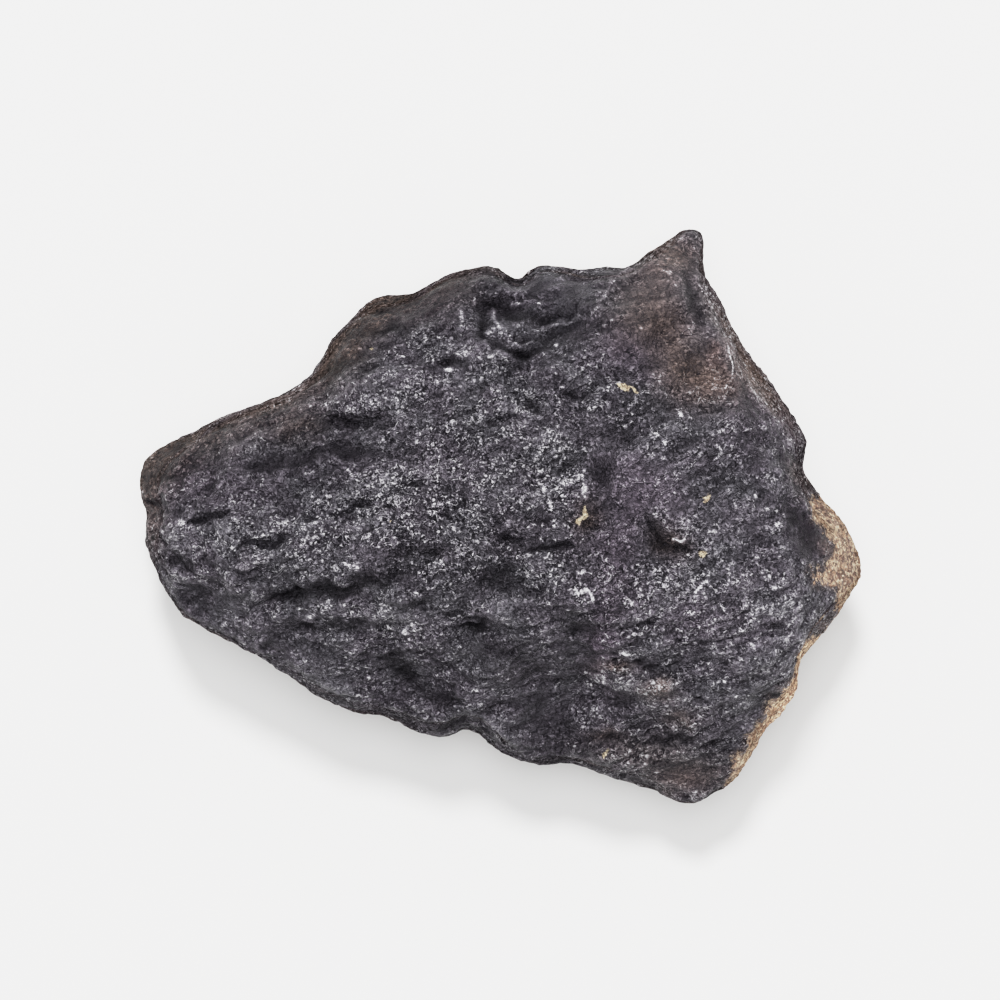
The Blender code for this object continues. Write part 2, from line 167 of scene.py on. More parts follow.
# Pits in the upper side: x, y, half length, half width, bearing, depth.
PITS = [
    (-23.1, 4.7, 0.5, 0.4, 20, 0.35), (-20.0, 6.0, 0.5, 0.4, 20, 0.30), (-20.4, 2.0, 0.5, 0.4, 15, 0.30),
    (-16.5, 6.7, 1.0, 0.6, 25, 0.30), (-15.3, 5.5, 0.8, 0.5, 0, 0.30), (-9.5, 10.4, 0.9, 0.6, 30, 0.35),
    (-8.0, 13.2, 0.8, 0.4, 10, 0.30), (-3.7, 10.9, 1.0, 0.4, 0, 0.35), (-4.8, 14.3, 0.8, 0.5, 60, 0.30),
    (1.8, 8.1, 0.6, 0.4, 0, 0.35), (2.6, 7.5, 0.5, 0.35, 0, 0.35), (-7.4, -4.0, 0.9, 0.5, 0, 0.40),
    (-5.5, -6.0, 0.9, 0.5, 10, 0.35), (-1.6, -7.6, 1.1, 0.6, -6, 0.22), (2.5, -5.5, 0.8, 0.5, 0, 0.35),
    (5.3, -7.9, 1.2, 0.8, 0, 0.20), (5.4, -9.4, 0.8, 0.6, 0, 0.30), (10.0, -10.2, 1.0, 0.4, 0, 0.30),
    (8.2, -13.2, 1.4, 0.9, 10, 0.20), (10.0, -14.8, 0.9, 0.6, 0, 0.20), (19.0, -7.6, 1.0, 0.6, -30, 0.30),
    (14.6, 3.6, 0.7, 0.6, 20, 0.25), (10.9, 12.8, 0.9, 0.6, 30, 0.30), (12.6, 13.8, 0.6, 0.5, 0, 0.25),
    (13.5, 11.0, 0.8, 0.6, 60, 0.25), (6.9, 3.2, 1.1, 0.5, 85, 0.25), (8.8, 5.7, 1.0, 0.6, 10, 0.20),
    (3.5, -16.8, 1.6, 1.0, -20, 0.30), (-16.2, -9.8, 0.8, 0.5, 40, 0.35), (-17.5, -8.5, 0.8, 0.5, 40, 0.35),
    (-11.0, 4.6, 1.6, 0.5, 0, 0.25), (-4.6, 8.4, 0.8, 0.5, 20, 0.20), (19.7, -12.5, 0.5, 0.4, 0, 0.30),
]

# Where the crust has broken away, its edge on the upper side, from the far end to the near one.
BREAK_EDGE = [
    (23.2, 1.6), (22.3, 1.3), (22.0, 1.1), (22.2, 0.3), (22.3, -0.3), (22.9, -0.6), (23.2, -0.9),
    (23.3, -1.5), (23.8, -2.0), (23.7, -2.6), (23.2, -3.1), (22.9, -3.4), (22.1, -3.5), (22.0, -4.0),
    (22.2, -4.8), (23.0, -4.9), (23.9, -5.1), (24.0, -6.0), (24.2, -6.9), (23.6, -7.7), (23.0, -8.6),
    (21.6, -9.0), (21.3, -9.7), (21.6, -10.5), (21.2, -10.9), (20.9, -11.6), (20.5, -12.2),
    (20.0, -12.5), (20.0, -13.0), (19.2, -13.0), (19.0, -14.4), (18.4, -14.8), (17.8, -15.8),
    (17.7, -16.5), (17.4, -17.0), (16.8, -17.1), (16.5, -18.4), (16.1, -19.9),
]
BREAK_BACK = [(40.0, -19.9), (40.0, 1.6)]  # far off to the right, closes the broken region
BREAK_FOOT = 4.5  # the break reaches down the wall to about this height
BREAK_NEAR = -16.5  # and along the wall from about here
BREAK_FAR = 0.5  # to here
BREAK_WALL_REACH = 1.5  # on the wall the break runs this far past its edge
BREAK_EDGE_WIDTH = 0.08  # half the width of the step at the crust's edge
CRUST_THICKNESS = 0.12
STAIN_WIDTH = 0.7  # the bare stone is stained this far in from the edge of the crust

# Where the crust is smooth, without lumps: x, y, half length, half width, bearing, how smooth.
SMOOTH_AREAS = [
    (3.0, -14.5, 3.6, 3.2, 0, 0.5), (-21.5, -6.4, 2.6, 1.4, -25, 0.7), (11.0, 15.5, 3.6, 3.0, 60, 0.7),
    (15.0, 11.0, 3.0, 1.6, 120, 0.4), (21.6, -1.4, 1.0, 1.8, 25, 0.35), (9.0, 12.2, 2.0, 1.6, 0, 0.8),
    (5.2, 15.8, 1.0, 1.8, 0, 0.8), (3.0, 16.8, 1.8, 1.0, 0, 0.8), (12.5, 18.6, 2.4, 1.6, 30, 0.7),
    (16.5, 13.5, 1.2, 3.5, 30, 0.6), (18.5, 10.0, 1.2, 3.5, 38, 0.6), (12.5, 11.5, 2.0, 2.5, 0, 0.6),
    (14.0, 0.0, 8.0, 8.0, 0, 0.4), (-20.5, 5.0, 5.0, 1.8, 25, 0.4), (-9.0, 13.5, 4.0, 2.0, 40, 0.3),
    (13.3, -18.6, 2.4, 1.2, 5, 0.7), (-14.0, -10.5, 5.0, 1.5, -28, 0.5), (4.4, 13.2, 1.6, 0.7, 25, 0.6),
    (-8.6, -2.6, 0.8, 0.6, 0, 0.8), (-1.8, -9.2, 0.6, 0.5, 0, 0.8), (-11.0, 4.6, 2.0, 0.7, 0, 0.6),
    (1.5, 14.0, 3.6, 2.0, 0, 0.5), (7.2, 4.2, 1.8, 2.2, 0, 0.6), (-4.0, 16.0, 4.0, 1.6, 20, 0.4),
    (10.0, 2.5, 2.6, 2.6, 0, 0.3),
]

# Where the painted glints in the crust are densest, in the same order.
GLINT_AREAS = [
    (-14.0, -1.6, 7.0, 2.6, 6, 0.8), (-5.0, 1.0, 6.5, 4.0, 15, 0.8), (3.6, 2.2, 2.8, 2.2, 40, 0.9),
    (2.0, 7.6, 4.0, 2.6, 30, 0.6), (-6.0, 9.5, 4.5, 2.6, 30, 0.5), (0.5, -3.0, 5.0, 1.6, 0, 0.8),
    (10.0, -5.0, 6.0, 4.5, 0, 0.5), (16.0, -1.0, 4.5, 5.0, 0, 0.4), (8.6, 8.0, 2.6, 2.4, 0, 0.5),
    (-9.0, -8.0, 4.0, 1.8, -15, 0.5), (-4.0, -12.5, 4.0, 1.6, -30, 0.4), (5.4, -5.2, 1.2, 1.6, 0, 0.7),
    (13.0, -13.0, 4.5, 2.4, 0, 0.3), (-4.4, -4.4, 2.6, 1.2, 0, 0.7), (7.2, -11.6, 0.8, 0.8, 0, 0.8),
    (16.4, -8.0, 1.2, 0.9, 0, 0.6), (-5.0, 13.0, 1.4, 0.5, 0, 0.6), (-3.4, 6.0, 1.4, 0.8, 20, 0.8),
    (-10.3, 7.6, 1.8, 0.8, -10, 0.6), (9.0, -17.4, 2.0, 1.2, 0, 0.5), (-10.0, -12.3, 2.2, 1.2, -30, 0.5),
]

# Where the crust is dark, in the same order: partly its own dark smooth crust, partly painted shade in
# hollows, under ledges and on slopes facing away from the light.
DARK_AREAS = [
    # the left end and the upper left
    (-21.4, -6.2, 1.8, 1.0, -25, 0.6), (-22.8, -3.3, 1.9, 0.4, 0, 0.8), (-11.0, 4.6, 2.2, 0.6, 0, 0.8),
    (-10.8, 6.6, 2.0, 0.5, -5, 0.7), (-14.0, 4.0, 1.4, 0.8, 10, 0.5), (-16.7, 3.5, 2.4, 0.8, 10, 0.5),
    (-23.5, 2.7, 1.6, 0.3, 5, 0.5), (-12.0, 10.6, 1.6, 0.6, 20, 0.5), (-8.2, 13.3, 1.6, 0.4, 10, 0.6),
    (-9.6, 14.6, 1.4, 0.4, 20, 0.5), (-3.6, 10.9, 1.8, 0.4, 0, 0.7), (-4.6, 8.5, 0.7, 0.6, 0, 0.5),
    # the middle
    (-5.4, -2.6, 2.6, 0.6, 0, 0.8), (-9.3, -4.4, 2.4, 0.7, 5, 0.7), (-0.3, -4.4, 1.9, 1.0, 10, 0.8),
    (0.1, 3.6, 1.4, 0.3, 20, 0.5), (4.2, 3.4, 1.6, 0.35, 22, 0.6), (-0.2, -1.5, 2.2, 0.5, -5, 0.6),
    (6.6, -0.7, 1.2, 0.7, 0, 0.5), (3.6, -2.1, 1.6, 0.4, 6, 0.8), (11.0, -1.4, 0.9, 0.9, 0, 0.8),
    (12.6, -2.2, 1.0, 0.5, 0, 0.7), (2.0, 8.0, 1.2, 0.5, -20, 0.6), (4.8, 8.6, 0.8, 0.3, 10, 0.6),
    # the lower left flank
    (-13.9, -5.4, 2.8, 0.7, 8, 0.9), (-13.8, -7.6, 1.2, 0.6, 0, 0.7), (-10.6, -7.6, 1.8, 0.5, -5, 0.7),
    (-7.4, -10.4, 2.4, 0.8, -50, 0.7), (-5.4, -12.2, 2.2, 1.0, -38, 0.35), (-1.6, -7.6, 1.2, 0.5, -5, 0.9),
    (-6.2, -6.3, 1.0, 0.5, 10, 0.6), (-11.0, -5.3, 1.4, 0.4, 0, 0.7), (0.2, -9.8, 1.8, 0.6, -25, 0.5),
    (-2.8, -13.0, 2.0, 0.5, 0, 0.5), (2.4, -13.2, 2.6, 3.0, 0, 0.4), (-16.4, -8.8, 1.4, 0.5, 40, 0.6),
    (-4.0, -15.0, 1.4, 0.6, 20, 0.6),
    # the lower right
    (5.4, -7.8, 1.0, 0.9, 0, 0.7), (6.4, -9.3, 0.5, 1.2, 0, 0.5), (8.2, -13.2, 1.5, 0.9, 5, 0.6),
    (10.0, -10.2, 1.3, 0.4, 0, 0.7), (8.0, -10.4, 1.0, 0.4, 0, 0.5), (9.9, -14.8, 1.0, 0.7, 0, 0.5),
    (7.8, -15.9, 1.4, 0.35, 0, 0.6), (13.2, -18.1, 2.4, 0.7, 3, 0.4), (5.1, -14.8, 1.0, 1.6, 0, 0.4),
    (12.3, -15.9, 2.4, 0.3, 0, 0.6), (15.8, -12.4, 0.6, 0.4, 0, 0.6), (19.6, -12.5, 0.7, 0.5, 0, 0.8),
    (21.6, -1.4, 0.9, 1.7, 25, 0.9), (16.4, -15.2, 0.6, 1.0, 0, 0.4), (19.2, -7.7, 1.0, 0.5, -20, 0.5),
    # the right hand face, the dent and the horn
    (-0.3, 14.9, 1.5, 0.6, -35, 0.8), (2.8, 14.1, 1.5, 0.5, 0, 0.7), (-1.4, 13.6, 0.4, 1.2, 0, 0.7),
    (0.4, 12.0, 1.6, 0.4, -25, 0.7), (1.5, 11.0, 1.8, 0.5, 38, 0.8), (4.1, 13.0, 2.0, 0.8, 35, 0.5),
    (5.2, 16.2, 0.5, 1.2, 0, 0.5), (2.6, 16.6, 1.2, 0.6, 0, 0.3), (0.5, 16.9, 0.8, 0.3, 0, 0.6),
    (8.6, 5.7, 1.2, 0.6, 0, 0.5), (7.0, 3.0, 0.6, 1.2, 0, 0.5), (11.3, 13.0, 1.2, 0.8, 0, 0.3),
    (13.6, 15.4, 0.5, 1.6, 15, 0.5), (13.2, 10.8, 0.6, 1.2, 0, 0.3), (13.2, 17.6, 0.4, 1.2, 0, 0.4),
    (10.6, 8.0, 1.0, 0.6, 0, 0.4), (17.8, 8.5, 0.8, 1.4, 0, 0.4), (20.4, 0.3, 1.2, 0.5, -40, 0.5),
]

# Cream and tan specks in the crust, and white painted glints, in the same order.
SPECKS = [
    (8.65, 9.2, 0.42, 0.24, -10, 1.0), (9.3, 8.8, 0.28, 0.13, -25, 0.9), (5.95, 0.25, 0.40, 0.22, 60, 0.9),
    (14.45, 1.55, 0.22, 0.32, 0, 0.7), (14.35, -2.78, 0.45, 0.16, 0, 0.9), (-8.0, -0.5, 0.16, 0.28, 0, 0.7),
    (5.5, -0.35, 0.42, 0.18, 45, 0.8), (7.4, -16.8, 0.22, 0.30, 0, 0.7), (-9.1, 11.9, 0.16, 0.20, 0, 0.6),
]
PAINTED_GLINTS = [
    # the left end
    (-22.7, -0.4, 0.30, 0.18, -10, 1.0), (-24.15, -1.1, 0.14, 0.14, 0, 0.9), (-25.7, 1.8, 0.12, 0.12, 0, 0.8),
    (-24.9, 2.1, 0.12, 0.12, 0, 0.7), (-20.0, -3.7, 0.20, 0.14, 0, 0.7), (-18.6, -1.7, 0.20, 0.12, 0, 0.7),
    (-16.2, -1.0, 0.16, 0.12, 0, 0.8), (-16.8, -1.3, 0.14, 0.12, 0, 0.7), (-15.1, -1.4, 0.16, 0.14, 0, 0.8),
    (-13.1, -1.8, 0.18, 0.12, 0, 0.7), (-14.3, -6.5, 0.25, 0.15, 0, 0.7), (-13.3, 3.2, 0.28, 0.10, 30, 0.8),
    (-10.8, 3.3, 0.30, 0.10, -45, 0.8), (-13.6, -7.1, 0.30, 0.14, 0, 0.7), (-8.8, 13.8, 0.13, 0.12, 0, 0.5),
    # the middle and the lower left flank
    (-5.8, -5.5, 0.22, 0.16, -20, 0.9), (-8.0, -7.8, 0.22, 0.14, 0, 1.0), (-6.8, -8.2, 0.18, 0.14, 0, 1.0),
    (-8.4, -6.8, 0.16, 0.12, 0, 0.7), (3.4, -4.1, 0.22, 0.14, -30, 0.8), (3.3, -6.1, 0.16, 0.12, 0, 0.8),
    (-1.8, -12.4, 0.18, 0.12, 0, 0.7), (-7.4, -10.7, 0.18, 0.12, 0, 0.7), (-3.0, -9.2, 0.18, 0.12, 0, 0.7),
    (2.0, -2.7, 0.18, 0.16, 0, 0.8), (1.3, -3.8, 0.20, 0.14, 0, 0.7), (-4.8, 0.3, 0.25, 0.18, 0, 0.7),
    (-3.7, 10.4, 0.25, 0.14, 0, 0.9), (-4.5, 9.6, 0.28, 0.16, 20, 0.7), (-1.9, 15.3, 0.12, 0.25, 0, 0.8),
    (-5.6, 13.8, 0.20, 0.14, 0, 0.4), (3.05, 2.1, 0.14, 0.28, 0, 0.9), (3.75, -0.4, 0.12, 0.35, 0, 0.9),
    (5.85, 1.95, 0.20, 0.30, 0, 1.0), (5.5, 2.9, 0.28, 0.16, 0, 0.9), (5.9, 3.3, 0.14, 0.14, 0, 0.8),
    (4.6, 2.5, 0.30, 0.30, 0, 0.6), (2.8, -1.5, 0.14, 0.12, 0, 0.8), (3.8, -1.7, 0.14, 0.12, 0, 0.8),
    # the right hand face
    (7.5, 8.1, 0.18, 0.12, 0, 0.8), (8.8, 6.35, 0.14, 0.14, 0, 0.9), (6.85, 5.5, 0.14, 0.10, 0, 0.7),
    (10.6, 6.2, 0.12, 0.18, 0, 0.7), (11.0, 5.8, 0.18, 0.13, -40, 1.0), (11.55, 5.2, 0.16, 0.12, -30, 1.0),
    (11.4, 4.15, 0.20, 0.12, 20, 0.9), (12.65, 7.3, 0.24, 0.16, -50, 0.8), (16.9, 3.8, 0.14, 0.28, 20, 0.7),
    (10.8, 0.2, 0.16, 0.10, 10, 0.9), (11.5, -0.4, 0.10, 0.22, 0, 0.8), (16.9, -1.8, 0.22, 0.12, 0, 0.7),
    (18.0, -2.9, 0.14, 0.14, 0, 0.8), (13.3, -6.8, 0.30, 0.20, 0, 0.7), (17.0, -8.0, 0.22, 0.18, 0, 0.6),
    (19.3, -5.0, 0.25, 0.14, 0, 0.7), (14.8, -10.4, 0.25, 0.16, 30, 0.7), (8.8, -9.7, 0.50, 0.16, -15, 0.8),
    (5.7, -3.9, 0.25, 0.14, 0, 0.8), (5.4, -5.4, 0.25, 0.25, 0, 0.7), (15.9, -11.7, 0.18, 0.12, -30, 0.9),
    (16.2, -12.2, 0.20, 0.13, 40, 0.7), (16.7, -12.8, 0.16, 0.12, 0, 0.7), (10.5, -17.2, 0.16, 0.16, 0, 0.8),
    (11.2, -18.4, 0.20, 0.16, 0, 0.7), (9.2, -16.8, 0.12, 0.20, 0, 0.7), (7.3, -11.5, 0.30, 0.30, 0, 0.6),
    (13.0, -8.95, 0.20, 0.10, 0, 0.8), (13.7, -8.95, 0.18, 0.10, 20, 0.8), (12.4, -11.8, 0.25, 0.14, 0, 0.6),
    (9.7, -13.5, 0.18, 0.12, -50, 0.8), (19.6, -0.55, 0.20, 0.14, 20, 1.0), (18.0, 1.4, 0.12, 0.22, 30, 0.9),
    (18.8, 0.55, 0.14, 0.12, 0, 0.8), (20.0, 0.15, 0.12, 0.10, 0, 0.8), (18.8, -1.6, 0.16, 0.10, 0, 0.6),
    # round the dent and on the horn
    (3.9, 12.2, 0.20, 0.12, 40, 0.8), (2.8, 15.2, 0.22, 0.14, -20, 0.6), (-0.8, 11.35, 0.25, 0.10, -15, 0.7),
    (6.6, 12.95, 0.40, 0.11, 0, 0.7), (7.8, 13.95, 0.15, 0.10, 20, 0.7), (9.9, 13.4, 0.15, 0.10, -30, 0.7),
    (11.5, 17.6, 0.35, 0.12, -20, 0.5), (12.0, 17.4, 0.16, 0.16, 0, 0.8), (4.3, 17.0, 0.28, 0.10, -10, 0.6),
]

# Pale scratches in the crust, as the slits are given but with their brightness first.
SCRATCHES = [
    (0.65, 0.07, [(16.15, 12.2), (16.25, 11.5), (16.5, 10.7), (16.4, 9.8), (15.9, 9.1)]),
    (0.40, 0.07, [(6.8, 14.9), (7.4, 15.8), (8.0, 16.8), (8.6, 17.4), (9.4, 18.1)]),
    (0.55, 0.12, [(-2.85, 13.6), (-2.8, 14.7)]),
    (0.50, 0.08, [(12.1, 17.0), (12.5, 16.4)]),
    (0.90, 0.10, [(3.3, 1.2), (3.6, 0.5)]),
    (0.60, 0.09, [(0.7, 15.05), (0.85, 15.25), (1.3, 15.2)]),
    (0.55, 0.09, [(2.8, 13.4), (3.4, 13.65), (4.3, 13.7), (4.7, 13.6), (5.1, 14.0), (5.5, 14.4)]),
    (0.45, 0.10, [(0.6, 12.85), (0.9, 12.4), (1.4, 12.1)]),
    (0.55, 0.10, [(1.7, 12.2), (2.1, 12.35), (2.6, 12.8)]),
    (0.50, 0.14, [(-0.55, 14.5), (-0.35, 13.9), (-0.1, 13.4)]),
    (0.60, 0.07, [(2.2, 11.0), (2.75, 11.35)]),
    (0.90, 0.08, [(12.1, -1.55), (12.4, -1.6), (12.7, -1.8), (12.95, -1.5)]),
    (0.75, 0.07, [(15.0, 4.0), (15.35, 4.2), (15.6, 4.7), (15.2, 5.1)]),
    (0.95, 0.10, [(13.7, -5.3), (14.1, -4.9), (14.5, -4.5)]),
    (0.95, 0.10, [(6.0, -5.1), (6.35, -5.4), (6.5, -6.0)]),
    (0.80, 0.09, [(8.7, -5.7), (9.05, -5.85), (9.2, -6.2)]),
    (0.80, 0.09, [(15.55, -6.25), (15.8, -6.6)]),
    (0.70, 0.09, [(-11.0, -3.3), (-10.0, -3.6)]),
    (0.40, 0.12, [(0.0, -8.2), (1.0, -8.4)]),
    (0.60, 0.09, [(-7.7, 11.9), (-7.3, 11.5), (-6.9, 11.4)]),
    (0.60, 0.08, [(-3.2, 11.6), (-2.7, 11.3), (-2.4, 11.7)]),
]

# Where thin crust is left on the bare stone, and below zero where bare stone shows through.
RAGGED_AREAS = [
    (22.9, -4.1, 0.9, 0.8, 0, 0.6), (23.4, -7.9, 0.8, 0.5, 30, -0.3), (23.6, -2.5, 0.6, 0.6, 0, 0.3),
]

# Where rust tints the crust brown or purple, in the same order.
BROWN_AREAS = [
    (10.5, 16.0, 3.4, 2.2, 50, 0.65), (12.5, 18.9, 2.0, 1.2, 30, 0.7), (11.5, 13.5, 2.4, 1.6, 0, 0.65),
    (12.5, 10.8, 1.6, 2.0, 0, 0.8), (15.0, 9.6, 2.4, 1.8, 0, 1.0), (16.8, 13.0, 0.9, 4.0, 33, 0.8),
    (19.3, 8.8, 0.9, 3.5, 38, 0.7), (13.3, -18.8, 3.0, 1.2, 5, 0.7), (-14.2, 6.4, 1.6, 1.0, 10, 0.6),
    (23.4, -8.0, 1.0, 0.8, 40, 0.9), (22.9, -2.0, 0.6, 1.0, 20, 0.8), (10.0, -17.0, 4.0, 1.2, 0, 0.4),
    (12.0, -1.8, 1.4, 0.9, -40, 0.7), (11.3, -12.2, 1.2, 0.8, 0, 0.8), (8.0, -10.6, 1.2, 0.6, 0, 0.8),
    (12.8, -14.4, 1.2, 0.8, 0, 0.6), (7.4, -15.6, 1.2, 0.5, 0, 0.6), (-11.6, 11.8, 1.6, 1.0, 30, 0.7),
    (-9.0, 14.6, 1.8, 0.8, 30, 0.7), (6.0, -0.2, 0.9, 0.9, 0, 0.9), (-25.0, 0.0, 0.9, 2.6, 0, 0.7),
    (21.3, 2.6, 0.8, 1.6, 30, 0.6),
]
RUST_AREAS = [
    (15.2, 11.6, 0.8, 1.0, 0, 0.55), (15.1, 9.2, 1.4, 0.9, 0, 0.25), (23.3, -2.3, 0.5, 0.5, 0, 0.5),
]

# Where the stone is paler, or darker where the last number is below zero, in the same order: partly its own
# tone, partly painted light on slopes facing the light and painted shade in hollows and on slopes facing
# away.
TONE_AND_SHADE_AREAS = [
    (15.5, -7.0, 6.5, 5.0, 0, 0.5), (13.0, -14.0, 5.0, 3.5, 0, 0.4), (21.0, -8.0, 3.0, 3.0, 0, 0.5),
    (-1.0, 11.5, 4.5, 3.0, 20, 0.5), (4.5, 6.0, 4.0, 3.0, 0, 0.4), (-22.0, -2.0, 3.0, 3.0, 0, 0.5),
    (-13.0, -12.0, 5.0, 1.4, -28, 0.4), (17.0, 1.0, 3.5, 3.0, 0, 0.3), (14.5, 9.5, 2.0, 1.6, 0, 0.4),
    (-10.0, -6.5, 5.0, 1.4, -8, 0.45), (0.5, -6.5, 3.0, 1.2, 0, 0.7), (8.0, -12.0, 4.0, 4.0, 0, 0.5),
    (16.5, 13.4, 0.8, 3.4, 32, 0.7), (19.6, 8.0, 0.8, 3.4, 38, 0.6), (10.5, 16.0, 2.6, 2.0, 50, 0.3),
    (-16.0, -3.6, 5.0, 1.0, 0, 0.4), (-2.0, -11.5, 5.0, 1.6, -30, 0.3), (13.5, 18.6, 1.5, 1.5, 0, 0.3),
    (-9.0, 15.0, 4.0, 2.2, 30, -0.05), (-2.6, 15.4, 4.5, 2.2, 10, -0.7), (-21.5, 2.2, 4.0, 2.8, 10, -0.5),
    (-15.5, 2.8, 3.5, 2.6, 10, -0.3), (-2.5, -4.0, 3.5, 2.5, 0, -0.25), (-3.0, -10.0, 3.5, 3.0, -10, -0.45),
    (20.3, -14.6, 5.5, 1.0, 62, 1.2), (10.0, -10.6, 4.0, 2.6, 0, -0.5), (2.8, 14.2, 4.0, 2.6, 0, -0.7),
    (21.0, 2.8, 1.6, 3.0, 20, -0.3), (-9.0, 2.0, 3.0, 2.2, 0, 0.55), (3.6, -16.4, 4.0, 2.2, -10, -0.3),
    (17.0, 2.6, 3.0, 2.6, 0, -0.35), (3.6, 1.4, 2.6, 1.6, 20, 0.2), (-15.0, 8.6, 2.0, 1.0, 30, 0.15),
    (-8.5, 13.0, 3.0, 1.5, 30, -0.2), (-1.5, 16.8, 4.0, 1.2, 0, -0.3), (9.8, 15.2, 2.4, 1.8, 50, -0.2),
]
PURPLE_AREAS = [
    (9.0, 12.0, 2.4, 2.0, 0, 0.8), (8.0, -3.0, 2.0, 5.0, 0, 0.7), (7.0, -9.0, 1.2, 3.0, 0, 0.8),
    (-22.0, 2.2, 3.0, 2.0, 0, 0.6), (18.5, 7.0, 2.4, 2.4, 0, 0.6), (15.0, -8.0, 3.0, 2.0, 0, 0.4),
    (13.5, 19.0, 1.2, 1.2, 0, 0.6), (10.5, 2.0, 2.5, 2.5, 0, 0.6), (-5.0, 15.6, 3.0, 1.5, 30, 0.5),
    (21.6, -1.2, 1.2, 2.2, 25, 0.8),
]
BROWN_BORDER = [(-26.0, 3.0), (-22.0, 6.3), (-17.0, 8.6), (-13.0, 11.0), (-9.5, 15.2), (-4.0, 17.4)]
BROWN_BORDER_WIDTH = 2.0

# Tones of the bare stone: tan, cream, pale grains, rust, and the dark cracks.
INNER_TONES = [
    (0.29, 0.190, 0.125), (0.43, 0.325, 0.230), (0.53, 0.44, 0.33), (0.115, 0.064, 0.048),
    (0.040, 0.022, 0.015),
]

# Tones of the specks in the crust: tan and cream.
SPECK_TONES = [(0.20, 0.15, 0.10), (0.46, 0.39, 0.28)]

# Tints of the crust, which its brightness multiplies.
CRUST_TINTS = [(1.0, 0.88, 1.06), (1.0, 0.95, 1.08)]
PURPLE_TINT = (1.06, 0.82, 1.08)
BROWN_TINT = (1.28, 0.92, 0.80)
RUST_TINT = (1.65, 1.00, 0.86)
GLINT_TINT = (1.0, 0.98, 1.02)  # where it is brightest, the near-white of the painted glints

# The crust's brightness is its shade times e to the power of a level. A mask adds to the level:
# the mask's name, its values where the change starts and ends, and the change at each.
CRUST_SHADE = 0.0299
# The first two rows paint shade and light by the relief: darker in its hollows and deep creases, lighter on
# its tops. The last makes the crust a little lighter where the painted glints are densest.
RELIEF_LEVELS = [
    ("relief", -0.25, 0.30, -0.42, 0.42),
    ("relief", -0.20, -0.70, 0.0, -0.7),
    ("glint", 0.0, 1.0, 0.0, 0.08),
]
MARK_LEVELS = [
    # lighter crests: their worn pale tops, and a painted highlight on them
    ("crest", 0.0, 1.0, 0.0, 0.6),
    # darker: the crust's own dark patches, and painted shade
    ("dark", 0.0, 1.0, 0.12, -1.0),
    # painted shade in the slits
    ("slit", 0.0, 1.0, 0.0, -1.7),
    # painted light on the steep walls
    ("wall", 0.0, 1.0, 0.0, 0.2),
    # painted glints, and the pale scratches, made much brighter
    ("glints_and_scratches", 0.10, 0.80, 0.0, 2.4),
]
TONE_AND_SHADE_SHARE = 0.9  # what the tone and shade areas add to it, painted light and shade included
BRIGHTEST = (0.1, 0.6, 0.42, 0.65)  # the most that the brightness may be, raised by the painted glints and scratches in the same way
GLINT_CONTRAST = (13.8, 7.0)  # of the painted glints in the fine strokes, on plain crust and in the dark areas
STROKE_GRAIN = (4.4, 2.2, 1.0)  # the noise that makes them: scale, detail, distortion

# The shader's own values.
ROUGHNESS = 0.5
SPECULAR_TINT = (0.88, 0.80, 1.0, 1.0)
GLOSS = 0.2  # on top, and none on the walls
DARK_GLOSS_SHARE = 0.4
BUMP_HEIGHT = 0.5

FLOW_BEARING = 20  # the way the melt flowed over the upper side, in degrees
FLOW_STRETCH = (2.4, 0.85, 1.0)  # how far it drew out the marks in the material, along and across
WANDER = 0.45  # how far the marks stray from their lines

# The crust's own relief, in lumps and then wrinkles with sharp creases between them: height, size,
# place in the noise, and how far drawn out along the flow.
CREASES = [(0.80, 2.6, 1.0, 2.4), (0.85, 1.3, 5.0, 2.0), (0.44, 0.65, 9.0, 1.7)]
GRAIN_HEIGHT = 0.17
GRAIN_SIZE = 0.42
BARE_GRAIN_SHARE = 0.6  # how much of their height the grains have on the bare stone
DARK_DEPTH = 0.16  # how far the dark areas are sunk
RELIEF_SHARE = 0.7  # evens out the crust's relief as a whole
GLINT_SPREAD = 1.3  # the painted glints and the scratches are drawn this much wider than they are given
SCRATCH_SPREAD = 1.25

# How far a normal rises where a face starts to count as part of each, and where it does in full.
UPPER_FROM = (0.15, 0.55)  # the upper side, with the drawn marks
WALL_UNTIL = (0.25, 0.65)  # the walls, which end as this one is reached
SIDE_UNTIL = (0.0, 0.4)  # the sides with no drawn tints, in the same way
TONED_FROM = (-0.2, 0.3)  # where the tone and shade areas show

FLOOR_SIZE = 6.0  # in metres
PAPER = (0.92, 0.915, 0.905)
PAPER_ROUGHNESS = 0.9

# The camera looks straight down. The picture is this wide at the focus height.
SENSOR_WIDTH = 36.0
LENS = 250.0
PICTURE_WIDTH = 72.0
FOCUS_HEIGHT = 11
CAMERA_PLACE = (-0.07, 1.19)

WORLD_STRENGTH = 0.30
SOFTBOXES = [  # name, bearing, elevation, size, energy
    ("key", 96, 66, 0.15, 5.3),
    ("overhead", 90, 86, 0.40, 2.56),
]

# The paper is over-exposed, as in the photo: its brightness is bent over to just below white.
# The tones are taken before the exposure, and the exposure brings the last one near to white.
EXPOSURE = 1.32
TONES = [
    (0.0, 0.0), (0.18, 0.18), (0.24, 0.225), (0.32, 0.262), (0.42, 0.290), (0.52, 0.311), (0.65, 0.330),
    (0.80, 0.345), (0.95, 0.3545), (1.0, 0.355),
]


def rotated(x, y, bearing):
    """The coordinates along and across a bearing given in degrees."""
    turn = math.radians(bearing)
    return x * math.cos(turn) + y * math.sin(turn), y * math.cos(turn) - x * math.sin(turn)


